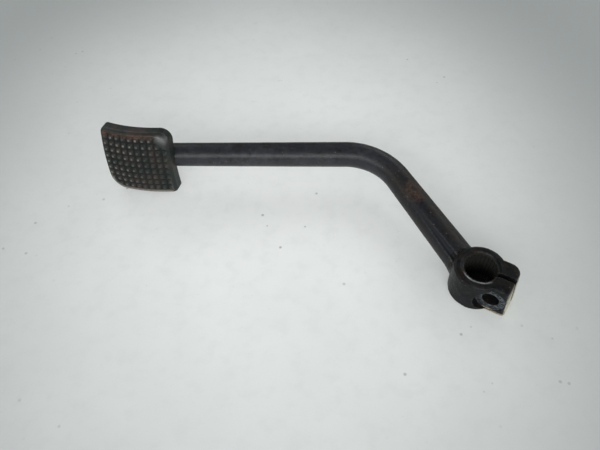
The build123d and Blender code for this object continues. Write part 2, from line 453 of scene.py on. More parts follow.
def border_loop(columns, rows):
    """Grid indices once round the border, anticlockwise."""
    bottom = [(i, 0) for i in range(columns - 1)]
    right = [(columns - 1, j) for j in range(rows - 1)]
    top = [(i, rows - 1) for i in range(columns - 1, 0, -1)]
    left = [(0, j) for j in range(rows - 1, 0, -1)]
    return bottom + right + top + left


def stud_relief(x, y, rim):
    """Depth of the grooves between the studs, and masks of the tips with their painted highlight, the
    grooves and the bulge.
    """
    across = DOME_ACROSS * np.arcsin(x / crown_radius(0.0, y))
    column = across / STUD_PITCH + STUD_COLUMNS / 2
    row = y / STUD_PITCH + STUD_ROWS / 2
    to_column_groove = np.abs(column - np.round(column)) * STUD_PITCH
    to_column_groove = np.where(column > STUD_COLUMNS - 0.5, STUD_PITCH, to_column_groove)
    to_row_groove = np.abs(row - np.round(row)) * STUD_PITCH
    half_across = STUD_COLUMNS * STUD_PITCH / 2
    half_up = STUD_ROWS * STUD_PITCH / 2
    inside = 1 - smoothstep(*TREAD_FADE, -across - half_across)
    inside *= 1 - smoothstep(*TREAD_FADE, np.abs(y) - half_up)
    inside *= smoothstep(*TREAD_RIM, rim)
    from_bulge = np.hypot(x - PAD_HALF[0] + BULGE_INSET, y - PAD_HALF[1] + BULGE_INSET)
    inside *= smoothstep(BULGE_RADIUS - 2 * MM, BULGE_RADIUS, from_bulge)
    slope_column = 0.5 + 0.5 * np.cos(math.pi * np.minimum(to_column_groove / STUD_FLANK, 1.0))
    slope_row = 0.5 + 0.5 * np.cos(math.pi * np.minimum(to_row_groove / STUD_FLANK, 1.0))
    groove = slope_column + slope_row - slope_column * slope_row
    stud_wear = random_numbers.uniform(0.0, STUD_WEAR, (STUD_COLUMNS + 2, STUD_ROWS + 2))
    stud_column = np.clip(np.floor(column).astype(int) + 1, 0, STUD_COLUMNS + 1)
    stud_row = np.clip(np.floor(row).astype(int) + 1, 0, STUD_ROWS + 1)
    worn = np.maximum(groove, stud_wear[stud_column, stud_row])
    tip = (1 - smoothstep(0.0, STUD_TIP, groove)) * inside
    # painted highlight: the pale tips grow brighter towards the upper left, where the light falls on
    # them
    tip *= 0.2 + 0.8 * smoothstep(*TIP_HIGHLIGHT_FADE, x - 0.5 * y)
    bulge = np.exp(-(from_bulge / (BULGE_SPREAD * BULGE_RADIUS)) ** 2)
    return STUD_DEPTH * worn * inside, tip, groove * inside, bulge


def behind_plate(points, depth):
    """Keeps points on or behind the pad's layer at this depth."""
    local = transformed(row_to_pad, points)
    near = (np.abs(local[:, :2]) < PAD_HALF).all(axis=1) & (local[:, 2] > 0)
    x = np.where(near, local[:, 0], 0.0)
    y = np.where(near, local[:, 1], 0.0)
    limit = layer_height(x, y, depth)
    local[:, 2] = np.where(near, np.minimum(local[:, 2], limit), local[:, 2])
    return transformed(pad_to_row, local)


def rolled_edge(rim, radius):
    """How far a rounded edge falls away, from the distance inwards."""
    lift = np.clip(radius - rim, 0.0, radius)
    return radius - np.sqrt(radius ** 2 - lift ** 2)


def band(distance, middle, half_width):
    return np.exp(-((distance - middle) / half_width) ** 2)


# ---------------------------------------------------------------- pieces
def pad_tread():
    """The domed, studded front of the pad: its grid of points, the grid's lines and its masks."""
    xs = rim_spaced(PAD_HALF[0], PAD_GRID_STEP, RIM_ROUND)
    ys = rim_spaced(PAD_HALF[1], PAD_GRID_STEP, RIM_ROUND)
    x, y = round_the_corners(*np.meshgrid(xs, ys, indexing="ij"))
    rim = np.maximum(rim_distance(x, y), 0.0)
    relief, tip, groove, bulge = stud_relief(x, y, rim)
    roll = rolled_edge(rim, RIM_ROUND)
    roll += BULGE_ROLL * bulge * (1 - smoothstep(*BULGE_ROLL_FADE, rim)) ** 2
    bulge *= 1 - smoothstep(*BULGE_FADE, rim)
    points = np.stack([x, y, layer_height(x, y, 0.0) - roll - relief], axis=-1)
    crest = band(rim, *CREST_BAND) * smoothstep(*CREST_RISE, y) * (1 - bulge)
    # painted highlight: a thin pale line along the pad's lower lip
    lip = band(rim, *LIP_HIGHLIGHT_BAND) * smoothstep(*LOWER_RISE, y)
    lip *= smoothstep(*LOWER_START, PAD_HALF[0] - x)
    border = 1 - smoothstep(*BORDER, rim)
    masks = {"tip": tip, "groove": groove, "bulge": bulge, "crest": crest, "lip": lip, "border": border}
    return points, xs, ys, masks


def pad_profile():
    """Inset, depth and scale of each ring of the pad's side, back lip and inner face."""
    wall = [(0.0, depth) for depth in np.linspace(RIM_ROUND, PAD_BACK - WALL_ROUND, 14)[1:]]
    for turn in np.linspace(0.0, math.pi / 2, 7)[1:]:
        inset = WALL_ROUND * (1 - math.cos(turn))
        wall.append((inset, PAD_BACK - WALL_ROUND * (1 - math.sin(turn))))
    wall += [(inset, PAD_BACK) for inset in np.linspace(WALL_ROUND, LIP_INSET - LIP_ROUND, 8)[1:]]
    wall += [(LIP_INSET, PAD_BACK - LIP_ROUND), (LIP_INSET, INNER_DEPTH)]
    rings = [(inset, depth, 1.0) for inset, depth in wall]
    return rings + [(LIP_INSET, INNER_DEPTH, scale) for scale in (0.8, 0.6, 0.4, 0.2, 0.08)]


def pad_ring(border_x, border_y, inset, depth, scale):
    inner_x = border_x / PAD_HALF[0] * (PAD_HALF[0] - inset)
    inner_y = border_y / PAD_HALF[1] * (PAD_HALF[1] - inset)
    ring_x, ring_y = round_the_corners(inner_x, inner_y, inset)
    ring_x = ring_x * scale
    ring_y = ring_y * scale
    return np.stack([ring_x, ring_y, layer_height(ring_x, ring_y, depth)], axis=-1)


def pad_rubber():
    tread, xs, ys, masks = pad_tread()
    points = tread.reshape(-1, 3)
    rows = len(ys)
    faces = grid_faces(len(xs), rows)
    loop = border_loop(len(xs), rows)
    border_x = np.array([xs[i] for i, j in loop])
    border_y = np.array([ys[j] for i, j in loop])
    rings = [pad_ring(border_x, border_y, *station) for station in pad_profile()]
    count = len(loop)
    previous = [i * rows + j for i, j in loop]
    for number in range(len(rings)):
        first = len(points) + number * count
        current = list(range(first, first + count))
        for k in range(count):
            after = (k + 1) % count
            faces.append((previous[k], current[k], current[after], previous[after]))
        previous = current
    centre = len(points) + len(rings) * count
    for k in range(count):
        faces.append((previous[k], centre, previous[(k + 1) % count]))
    middle = np.array([[0.0, 0.0, layer_height(0.0, 0.0, INNER_DEPTH)]])
    local = np.concatenate([points, *rings, middle])
    clear_of_bar(local)
    piece = make_piece("pad_rubber_skin", transformed(pad_to_row, local), faces)
    behind = np.zeros(len(local) - len(points))
    for name, values in masks.items():
        store(piece, name, np.concatenate([values.ravel(), behind]))
    return piece


def clear_of_bar(local):
    """Presses the back lip down where the bar passes over it."""
    start = transformed(row_to_pad, np.array([bar_start]))[0]
    end = transformed(row_to_pad, np.array([bend_start]))[0]
    axis = (end - start) / np.linalg.norm(end - start)
    along = (local - start) @ axis
    closest = start + along[:, None] * axis
    away = local - closest
    clearance = TIP_RADIUS + BAR_GAP
    lateral = away - away[:, 2:] * np.array([0.0, 0.0, 1.0])
    lateral_length = np.linalg.norm(lateral, axis=1)
    rise = np.sqrt(np.maximum(clearance ** 2 - lateral_length ** 2, 0.0))
    back = local[:, 2] < layer_height(local[:, 0], local[:, 1], PLATE_BACK - 0.1 * MM)
    inside = (lateral_length < clearance) & (away[:, 2] < rise) & (along > 0) & back
    top = layer_height(local[:, 0], local[:, 1], PLATE_BACK - 0.4 * MM)
    pressed = np.minimum(closest[inside, 2] + rise[inside], top[inside])
    local[inside, 2] += PRESSED_SHARE * (pressed - local[inside, 2])


def foot_plate():
    xs = rim_spaced(PAD_HALF[0], PLATE_GRID_STEP, PLATE_EDGE)
    ys = rim_spaced(PAD_HALF[1], PLATE_GRID_STEP, PLATE_EDGE)
    x, y = round_the_corners(*np.meshgrid(xs, ys, indexing="ij"))
    roll = rolled_edge(np.maximum(rim_distance(x, y), 0.0), PLATE_EDGE)
    scale = (PAD_HALF - PLATE_INSET - PLATE_FIT) / PAD_HALF
    x = x * scale[0]
    y = y * scale[1]
    front = np.stack([x, y, layer_height(x, y, TREAD_DEPTH + PLATE_FIT) - roll], axis=-1)
    back = np.stack([x, y, layer_height(x, y, PLATE_BACK) + roll], axis=-1)
    columns, rows = len(xs), len(ys)
    total = columns * rows
    faces = grid_faces(columns, rows) + grid_faces(columns, rows, total, flipped=True)
    loop = [i * rows + j for i, j in border_loop(columns, rows)]
    for a, b in zip(loop, loop[1:] + loop[:1]):
        faces.append((a, total + a, total + b, b))
    local = np.concatenate([front.reshape(-1, 3), back.reshape(-1, 3)])
    piece = make_piece("foot_plate_steel", transformed(pad_to_row, local), faces)
    roughen(piece, size=4 * MM, amount=0.05 * MM)
    store(piece, "wear", edge_wear(piece, rounds=6, full_height=0.08 * MM))
    return piece


def bead_path():
    """The U of the bead's centreline in the pad's frame: three straights joined by two arcs."""
    width, turn = BEAD_HALF_WIDTH, BEAD_TURN
    arc = np.linspace(0.0, math.pi / 2, int(turn * math.pi / 2 / BEAD_STEP))
    leg = np.arange(BEAD_OPEN_END, turn - width, -BEAD_STEP)
    upper = np.stack([leg, np.full(len(leg), width)], axis=1)
    first = np.stack([turn - width - turn * np.sin(arc), width - turn + turn * np.cos(arc)], axis=1)
    second = first[::-1] * np.array([1.0, -1.0])
    lower = upper[::-1] * np.array([1.0, -1.0])
    return np.concatenate([upper, first[1:], second, lower[1:]])


def foot_plate_weld():
    path = bead_path()
    height = layer_height(path[:, 0], path[:, 1], PLATE_BACK)
    centre = np.column_stack([path, height])
    run = np.gradient(centre, axis=0)
    run /= np.linalg.norm(run, axis=1)[:, None]
    distance = np.concatenate([[0.0], np.cumsum(np.linalg.norm(np.diff(centre, axis=0), axis=1))])
    angles = np.linspace(0.0, 2 * math.pi, BEAD_POINTS, endpoint=False)
    up = np.array([0.0, 0.0, 1.0])
    rings = []
    for index in range(len(centre)):
        sideways = np.cross(up, run[index])
        sideways /= np.linalg.norm(sideways)
        to_end = min(distance[index], distance[-1] - distance[index])
        taper = math.sqrt(max(1 - max(1 - to_end / BEAD_END, 0.0) ** 2, 0.0004))
        bowed = distance[index] + BEAD_RIPPLE_BOW * np.cos(2 * angles)
        ripple = BEAD_FULLNESS + BEAD_RIPPLE_DEPTH * np.cos(2 * math.pi * bowed / BEAD_RIPPLE)
        waver = 1 + BEAD_WAVER * math.sin(distance[index] / BEAD_WAVER_REACH)
        size = BEAD_RADIUS * taper * ripple * waver
        rings.append(centre[index] + np.cos(angles)[:, None] * size[:, None] * sideways
                     + np.sin(angles)[:, None] * size[:, None] * up)
    local, faces = tube(rings)
    shallow = layer_height(local[:, 0], local[:, 1], PLATE_BACK - BEAD_SINK)
    local[:, 2] = np.minimum(local[:, 2], shallow)
    piece = make_piece("foot_plate_weld_bead", transformed(pad_to_row, local), faces)
    store(piece, "wear", edge_wear(piece, rounds=4, full_height=0.05 * MM))
    return piece


def lever_arm():
    end = straight_length + bend_length + arm_length - ARM_STOP
    distances = np.linspace(0.0, end, int(end / BAR_STEP))
    rings = []
    for turn in np.linspace(0.0, math.pi / 2, 7):
        centre = bar_start + bar_direction * TIP_ROUND * (1 - math.cos(turn))
        radius = TIP_RADIUS - TIP_ROUND * (1 - math.sin(turn))
        rings.append(ring_of(centre, bar_direction, radius))
    for distance in distances[distances > TIP_ROUND + BAR_STEP / 2]:
        centre, direction, radius = bar_station(distance)
        along_arm = distance - straight_length - bend_length
        rings.append(ring_of(centre, direction, radius, along_arm))
    points, faces = tube(rings)
    points = behind_plate(points, PLATE_BACK - 0.3 * MM)
    piece = make_piece("lever_bar", points, faces)
    roughen(piece, size=5 * MM, amount=0.07 * MM)
    store(piece, "wear", edge_wear(piece, rounds=5, full_height=0.035 * MM))
    mark_groove_shade(piece)
    return piece


def mark_groove_shade(piece):
    """Marks the arm's groove, where the paint is darkened as painted shade."""
    from_bend = points_of(piece) - np.array(bend_end)
    along = from_bend @ np.array(to_foot)
    from_axis = from_bend - along[:, None] * np.array(to_foot)
    facing = (from_axis @ np.array(groove_outward)) / np.maximum(np.linalg.norm(from_axis, axis=1), MM)
    groove_shade = smoothstep(0.80, 0.93, facing)
    groove_shade *= smoothstep(GROOVE_START, GROOVE_START + GROOVE_SHADE_RISE, along)
    store(piece, "groove_shade", groove_shade)


def boss_collar():
    """The swelling fillet between the arm and the boss, with the arm's groove running out in it."""
    reaches = np.linspace(COLLAR_REACH, ARM_STOP + COLLAR_OVERLAP, COLLAR_RINGS)
    rings = []
    for reach in reaches:
        along_arm = arm_length - reach
        centre = ARM_FOOT - to_foot * reach
        radius = BEND_BAR_RADIUS + (ROOT_RADIUS - BEND_BAR_RADIUS) * along_arm / arm_length
        share = (COLLAR_REACH - reach) / (COLLAR_REACH - ARM_STOP)
        swell = (COLLAR_SWELL + COLLAR_SINK) * share ** 2 - COLLAR_SINK
        rings.append(ring_of(centre, to_foot, radius, along_arm, swell))
    points, faces = tube(rings)
    from_bore = np.hypot(points[:, 0], points[:, 1])
    over_boss = smoothstep(BOSS_RADIUS + 1.2 * MM, BOSS_RADIUS - 1.6 * MM, from_bore)
    ceiling = BOSS_HEIGHT + 0.3 * MM - COLLAR_OVER_BOSS * over_boss
    points[:, 2] = np.minimum(points[:, 2], ceiling)
    piece = make_piece("boss_fillet", points, faces)
    roughen(piece, size=3 * MM, amount=0.06 * MM)
    store(piece, "wear", edge_wear(piece, rounds=5, full_height=0.035 * MM))
    return piece


def clamp_boss():
    """The CAD boss, skinned with a fine even mesh and eased like a worn forging."""
    source = bpy.data.objects.new("boss_source", frame["nodes"]["clamp_boss"].data.copy())
    bpy.context.scene.collection.objects.link(source)
    skin = source.modifiers.new("skin", "REMESH")
    skin.mode = "VOXEL"
    skin.voxel_size = BOSS_VOXEL
    ease = source.modifiers.new("ease", "SMOOTH")
    ease.factor = 0.5
    ease.iterations = 3
    depsgraph = bpy.context.evaluated_depsgraph_get()
    mesh = bpy.data.meshes.new_from_object(source.evaluated_get(depsgraph))
    mesh.name = "clamp_boss_forging"
    bpy.data.objects.remove(source)
    mesh.shade_smooth()
    piece = bpy.data.objects.new("clamp_boss_forging", mesh)
    bpy.context.scene.collection.objects.link(piece)
    mask_boss(piece)
    return piece


def mask_boss(piece):
    """Marks the machined and the worn places and the painted highlight on the bore's mouth, and
    roughens only the forged skin.
    """
    points = points_of(piece)
    normals = normals_of(piece)
    masks = machined_masks(points)
    machined = np.maximum.reduce([masks["bore"], masks["seat"], masks.pop("hole")])
    masks["wear"] = edge_wear(piece, rounds=6, full_height=0.08 * MM)
    masks["rub_highlight"] = rubbed_mouth_highlight(points)
    masks.update(ear_masks(points, normals))
    masks["top"] = smoothstep(0.4, 0.9, normals[:, 2])
    for name, values in masks.items():
        store(piece, name, values)
    depth = FORGING_DEPTH * hammer_marks(points, FORGING_MARK, 4) * (1 - machined)
    set_points(piece, points - normals * depth[:, None])


def machined_masks(points):
    """The serrated bore, the spot-faced seat of the bolt's head, and the pinch hole's wall."""
    pinch = mounts["pinch_clearance_hole"]
    offset = points - np.array(pinch["pos_m"], float)
    from_pinch = np.linalg.norm(offset - (offset @ pinch_axis)[:, None] * pinch_axis, axis=1)
    from_bore = np.hypot(points[:, 0], points[:, 1])
    bore = 1 - smoothstep(BORE_RADIUS + BORE_GROOVE, BORE_RADIUS + BORE_GROOVE + 0.6 * MM, from_bore)
    seat = smoothstep(0.35 * MM, 0.15 * MM, np.abs(points @ pinch_axis - SEAT_DISTANCE))
    seat *= smoothstep(SEAT_RADIUS + 0.1 * MM, SEAT_RADIUS - 0.2 * MM, from_pinch)
    hole = smoothstep(0.2 * MM, -0.1 * MM, from_pinch - pinch["dims"]["r_mm"] * MM)
    return {"bore": bore, "seat": seat, "hole": hole}


def rubbed_mouth_highlight(points):
    """Worn steel with a painted highlight: the bright arc on the bore's upper edge, on the side that
    faces the front windows, and a faint one across from it.
    """
    from_bore = np.hypot(points[:, 0], points[:, 1])
    mouth = smoothstep(BOSS_HEIGHT - 0.75 * MM, BOSS_HEIGHT - 0.35 * MM, points[:, 2])
    mouth *= smoothstep(BORE_RADIUS + 0.5 * MM, BORE_RADIUS + 0.9 * MM, from_bore)
    mouth *= smoothstep(BORE_RADIUS + 1.6 * MM, BORE_RADIUS + 1.1 * MM, from_bore)
    facing = (points[:, :2] @ np.array(RIM_HIGHLIGHT_BEARING)) / np.maximum(from_bore, MM)
    return mouth * np.maximum(smoothstep(0.55, 0.95, facing), 0.12 * smoothstep(0.7, 1.0, -facing))


def ear_masks(points, normals):
    """Bare metal on the ears' end, and along the near ear's lower edge."""
    along_ears = np.array([math.cos(LUG_ANGLE), math.sin(LUG_ANGLE), 0.0])
    reach = points @ along_ears
    low_down = smoothstep(0.85 * BOSS_HEIGHT, 0.65 * BOSS_HEIGHT, points[:, 2])
    end = smoothstep(0.55, 0.85, normals @ along_ears) * (0.25 + 0.75 * low_down)
    end *= smoothstep(LUG_LENGTH - 4 * MM, LUG_LENGTH - 3 * MM, reach)
    foot = smoothstep(2.1 * MM, 1.3 * MM, points[:, 2]) * smoothstep(5 * MM, 8 * MM, reach)
    foot *= smoothstep(0.1, 0.4, normals @ pinch_axis)
    return {"end": end, "foot": foot}


# ---------------------------------------------------------------- materials
class Nodes:
    """A short way to write one material's node tree."""

    def __init__(self, name):
        self.material = bpy.data.materials.new(name)
        self.material.use_nodes = True
        self.tree = self.material.node_tree
        self.shader = self.tree.nodes["Principled BSDF"]
        self.place = self.add("ShaderNodeTexCoord").outputs["Object"]

    def add(self, kind, **values):
        node = self.tree.nodes.new(kind)
        for name, value in values.items():
            setattr(node, name, value)
        return node

    def join(self, value, socket):
        if isinstance(value, bpy.types.NodeSocket):
            self.tree.links.new(value, socket)
        elif isinstance(value, (tuple, list)) and len(value) == 3 and socket.type == "RGBA":
            socket.default_value = (*value, 1.0)
        else:
            socket.default_value = value

    def noise(self, size, detail=4.0, roughness=0.6, distortion=0.0):
        node = self.add("ShaderNodeTexNoise")
        self.join(self.place, node.inputs["Vector"])
        node.inputs["Scale"].default_value = 1.0 / size
        node.inputs["Detail"].default_value = detail
        node.inputs["Roughness"].default_value = roughness
        node.inputs["Distortion"].default_value = distortion
        return node.outputs["Fac"]

    def cells(self, size):
        """Distance to the nearest of many scattered points, for flecks and dots."""
        node = self.add("ShaderNodeTexVoronoi")
        self.join(self.place, node.inputs["Vector"])
        node.inputs["Scale"].default_value = 1.0 / size
        return node.outputs["Distance"]

    def attribute(self, name):
        return self.add("ShaderNodeAttribute", attribute_name=name).outputs["Fac"]

    def ramp(self, value, low, high, start=0.0, end=1.0):
        node = self.add("ShaderNodeMapRange", interpolation_type="SMOOTHSTEP")
        self.join(value, node.inputs["Value"])
        node.inputs["From Min"].default_value = low
        node.inputs["From Max"].default_value = high
        node.inputs["To Min"].default_value = start
        node.inputs["To Max"].default_value = end
        return node.outputs["Result"]

    def math(self, operation, first, second):
        node = self.add("ShaderNodeMath", operation=operation)
        self.join(first, node.inputs[0])
        self.join(second, node.inputs[1])
        return node.outputs[0]

    def times(self, first, second):
        return self.math("MULTIPLY", first, second)

    def plus(self, first, second):
        return self.math("ADD", first, second)

    def minus(self, first, second):
        return self.math("SUBTRACT", first, second)

    def larger(self, first, second):
        return self.math("MAXIMUM", first, second)

    def mix(self, share, first, second):
        node = self.add("ShaderNodeMix", data_type="RGBA")
        self.join(share, node.inputs[0])
        self.join(first, node.inputs[6])
        self.join(second, node.inputs[7])
        return node.outputs[2]

    def distance_from(self, centre, span):
        """Distance from a point of the object, in spans, which differ from axis to axis."""
        move = self.add("ShaderNodeMapping", vector_type="TEXTURE")
        self.join(self.place, move.inputs["Vector"])
        move.inputs["Location"].default_value = centre
        move.inputs["Scale"].default_value = span
        length = self.add("ShaderNodeVectorMath", operation="LENGTH")
        self.join(move.outputs["Vector"], length.inputs[0])
        return length.outputs["Value"]

    def bump(self, height, distance, strength=1.0, normal=None):
        node = self.add("ShaderNodeBump")
        node.inputs["Strength"].default_value = strength
        node.inputs["Distance"].default_value = distance
        self.join(height, node.inputs["Height"])
        if normal is not None:
            self.join(normal, node.inputs["Normal"])
        return node.outputs["Normal"]

    def set(self, **values):
        for name, value in values.items():
            self.join(value, self.shader.inputs[name.replace("_", " ")])


# Colours, linear
PAINT = (0.0205, 0.0214, 0.0270)
PAINT_FADED = (0.0360, 0.0372, 0.0440)
# painted shade on the floor of the arm's groove
GROOVE_SHADE = (0.0045, 0.0058, 0.0100)
OILY_PAINT = (0.0052, 0.0058, 0.0068)
OILY_FADED = (0.0090, 0.0116, 0.0150)
GRIME = (0.0100, 0.0080, 0.0062)
BROWN_GRIME = (0.014, 0.010, 0.007)
RUST = (0.078, 0.041, 0.024)
# bare steel of the worn edges, and also the colour of the painted glints
BARE_STEEL_AND_GLINT = (0.24, 0.235, 0.22)
BORE_STEEL = (0.022, 0.023, 0.021)
SEAT_STEEL = (0.130, 0.146, 0.162)
RUBBED_STEEL_HIGHLIGHT = (0.34, 0.35, 0.35)
BARE_END = (0.64, 0.61, 0.44)
BARE_FOOT = (0.36, 0.32, 0.23)
RUBBER = (0.0140, 0.0205, 0.0180)
RUBBER_BROWNED = (0.0380, 0.0310, 0.0270)
RUBBER_DUST = (0.018, 0.013, 0.009)
RUBBER_SHADOW = (0.002, 0.002, 0.002)
RUBBER_TIP_AND_HIGHLIGHT = (0.250, 0.242, 0.226)
RUBBER_CREST = (0.125, 0.062, 0.042)
RUBBER_LIP_HIGHLIGHT = (0.26, 0.24, 0.21)
RUBBER_BULGE_SHEEN = (0.020, 0.024, 0.024)
TABLE = (0.575, 0.600, 0.592)
TABLE_PALE = (0.610, 0.628, 0.620)
TABLE_CLOUD = (0.50, 0.52, 0.515)
TABLE_MARK = (0.20, 0.20, 0.19)
TABLE_PAINTED_FALLOFF = (0.225, 0.242, 0.242)
BORE_FLOOR_SHADE = (0.020, 0.022, 0.020)


def old_paint(name, paint, faded, rust_share, wear_share, specular, on_bar=False, on_boss=False):
    """Satin black paint over forged steel: faded patches, brown grime, rust flecks, worn edges, painted
    glints.
    """
    nodes = Nodes(name)
    broad = nodes.noise(9 * MM, 5.0)
    fine = nodes.noise(1.1 * MM, 6.0, 0.7)
    colour = nodes.mix(nodes.ramp(broad, 0.42, 0.68, 0.0, 0.85), paint, faded)
    grime = nodes.ramp(nodes.noise(3.5 * MM, 5.0, 0.65, 0.4), 0.5, 0.72, 0.0, 0.8)
    colour = nodes.mix(grime, colour, GRIME)
    blotches = nodes.noise(6 * MM, 6.0, 0.75, 0.8)
    rust = nodes.ramp(blotches, 0.70 - rust_share, 0.80 - rust_share, 0.0, 0.7)
    flecks = nodes.ramp(nodes.cells(1.6 * MM), 0.16, 0.06, 0.0, 0.6)
    flecks = nodes.times(flecks, nodes.ramp(broad, 0.5, 0.62))
    rust = nodes.larger(rust, flecks)
    dull = 0.0
    if on_bar:
        colour, rust, dull = bar_weather(nodes, colour, rust, fine)
    colour = nodes.mix(rust, colour, RUST)
    worn = nodes.times(nodes.attribute("wear"), nodes.ramp(fine, 0.35, 0.6))
    worn = nodes.times(worn, wear_share)
    colour = nodes.mix(worn, colour, BARE_STEEL_AND_GLINT)
    # painted glints: small pale specks that stand in for specular glints on the paint
    painted_glints = nodes.ramp(nodes.cells(1.9 * MM), 0.15, 0.07)
    painted_glints = nodes.times(painted_glints, nodes.ramp(fine, 0.45, 0.6, 0.0, 0.5))
    colour = nodes.mix(painted_glints, colour, BARE_STEEL_AND_GLINT)
    metal = nodes.times(worn, 0.8)
    if on_boss:
        colour, metal = boss_wear(nodes, colour, metal, fine)
    roughness = nodes.ramp(fine, 0.3, 0.75, 0.29, 0.47)
    roughness = nodes.plus(roughness, nodes.times(rust, 0.3))
    roughness = nodes.plus(roughness, nodes.times(dull, 0.14))
    coarse = nodes.bump(nodes.noise(2.2 * MM, 5.0, 0.6), 0.10 * MM, 0.8)
    normal = nodes.bump(fine, 0.05 * MM, 0.8, coarse)
    nodes.set(Base_Color=colour, Roughness=roughness, Metallic=metal, Normal=normal)
    nodes.set(Specular_IOR_Level=specular)
    return nodes.material


def bar_weather(nodes, colour, rust, fine):
    """Dull and browned paint away from the polished bar, painted shade in the groove, and the arm's
    rust patch.
    """
    dull = nodes.ramp(nodes.distance_from(POLISHED_MIDDLE, [POLISHED_REACH] * 3), 0.85, 1.1)
    colour = nodes.mix(nodes.times(dull, 0.8), colour, OILY_PAINT)
    brown = nodes.times(dull, nodes.ramp(nodes.noise(7 * MM, 5.0, 0.7, 0.6), 0.42, 0.62, 0.0, 0.75))
    colour = nodes.mix(brown, colour, BROWN_GRIME)
    # painted shade: darker, bluer paint on the floor of the arm's groove
    colour = nodes.mix(nodes.times(nodes.attribute("groove_shade"), 0.85), colour, GROOVE_SHADE)
    patch = nodes.ramp(nodes.distance_from(rusty_spot, [RUST_PATCH_SPAN] * 3), 1.0, 0.3, 0.0, 0.9)
    patch = nodes.times(patch, nodes.ramp(nodes.noise(3 * MM, 4.0, 0.6), 0.40, 0.58, 0.2, 1.0))
    patch = nodes.times(patch, nodes.ramp(fine, 0.42, 0.58, 0.2, 1.0))
    return colour, nodes.larger(rust, patch), dull


def boss_wear(nodes, colour, metal, fine):
    """The boss's oily bore, browned top, machined seat, worn mouth with a painted highlight, and bare
    edges and end.
    """
    colour = nodes.mix(nodes.attribute("bore"), colour, BORE_STEEL)
    stain = nodes.ramp(nodes.noise(5 * MM, 5.0, 0.7, 0.5), 0.42, 0.62, 0.0, 0.9)
    stain = nodes.times(stain, nodes.ramp(nodes.attribute("top"), 0.0, 1.0, 0.2, 1.0))
    colour = nodes.mix(stain, colour, BROWN_GRIME)
    seat = nodes.ramp(nodes.noise(1.3 * MM, 5.0, 0.7), 0.44, 0.58, 0.10, 1.0)
    seat = nodes.times(nodes.attribute("seat"), seat)
    colour = nodes.mix(seat, colour, SEAT_STEEL)
    # painted highlight on the worn mouth of the bore, brightest on the side towards the light
    rub_highlight = nodes.times(nodes.attribute("rub_highlight"), nodes.ramp(fine, 0.35, 0.55, 0.3, 1.0))
    colour = nodes.mix(rub_highlight, colour, RUBBED_STEEL_HIGHLIGHT)
    bare_end = nodes.ramp(nodes.noise(2.4 * MM, 6.0, 0.7), 0.36, 0.60, 0.45, 0.95)
    bare_end = nodes.times(nodes.attribute("end"), bare_end)
    colour = nodes.mix(bare_end, colour, BARE_END)
    foot = nodes.times(nodes.attribute("foot"), nodes.ramp(fine, 0.35, 0.55, 0.5, 0.9))
    colour = nodes.mix(foot, colour, BARE_FOOT)
    metal = nodes.larger(metal, nodes.times(bare_end, 0.5))
    metal = nodes.larger(metal, nodes.times(seat, 0.85))
    return colour, metal


def aged_rubber():
    """Dark moulded rubber: browned patches, dusty grooves with painted shade, pale worn tips with a
    painted highlight, a painted highlight along the lower edge, and a painted sheen on the corner's
    bulge.
    """
    nodes = Nodes("aged_rubber")
    fine = nodes.noise(0.8 * MM, 5.0, 0.7)
    groove = nodes.attribute("groove")
    bulge = nodes.attribute("bulge")
    colour = nodes.mix(nodes.ramp(nodes.noise(7 * MM, 4.0), 0.4, 0.65), RUBBER, RUBBER_BROWNED)
    dust = nodes.times(groove, nodes.ramp(nodes.noise(4 * MM), 0.5, 0.75, 0.0, 0.6))
    colour = nodes.mix(dust, colour, RUBBER_DUST)
    # painted shade deep in the grooves between the studs
    colour = nodes.mix(nodes.ramp(groove, 0.55, 1.0, 0.0, 0.7), colour, RUBBER_SHADOW)
    # pale worn tips, with the painted highlight carried in the tip mask
    tip = nodes.times(nodes.attribute("tip"), nodes.ramp(fine, 0.35, 0.6, 0.35, 0.9))
    tip = nodes.times(tip, nodes.ramp(nodes.noise(5 * MM, 3.0, 0.7), 0.40, 0.58, 0.35, 1.1))
    colour = nodes.mix(nodes.times(tip, 0.8), colour, RUBBER_TIP_AND_HIGHLIGHT)
    crest = nodes.times(nodes.attribute("crest"), nodes.ramp(fine, 0.35, 0.65, 0.3, 1.0))
    crest = nodes.times(crest, nodes.ramp(nodes.noise(2.5 * MM, 4.0, 0.7), 0.38, 0.58, 0.3, 1.0))
    colour = nodes.mix(crest, colour, RUBBER_CREST)
    # painted highlight: the pale line along the pad's lower lip
    lip = nodes.times(nodes.attribute("lip"), nodes.ramp(fine, 0.35, 0.6, 0.5, 0.95))
    colour = nodes.mix(lip, colour, RUBBER_LIP_HIGHLIGHT)
    # painted sheen: a slightly paler, bluish colour where the corner's highlight falls
    colour = nodes.mix(bulge, colour, RUBBER_BULGE_SHEEN)
    roughness = nodes.ramp(fine, 0.3, 0.7, 0.42, 0.62)
    roughness = nodes.minus(roughness, nodes.times(nodes.attribute("border"), 0.10))
    roughness = nodes.minus(roughness, nodes.times(bulge, 0.06))
    coarse = nodes.bump(nodes.noise(1.9 * MM, 5.0), 0.06 * MM, 0.8)
    normal = nodes.bump(fine, 0.03 * MM, 0.8, coarse)
    nodes.set(Base_Color=colour, Roughness=roughness, Normal=normal)
    nodes.set(Specular_IOR_Level=nodes.ramp(bulge, 0.0, 1.0, 0.25, 0.80))
    return nodes.material


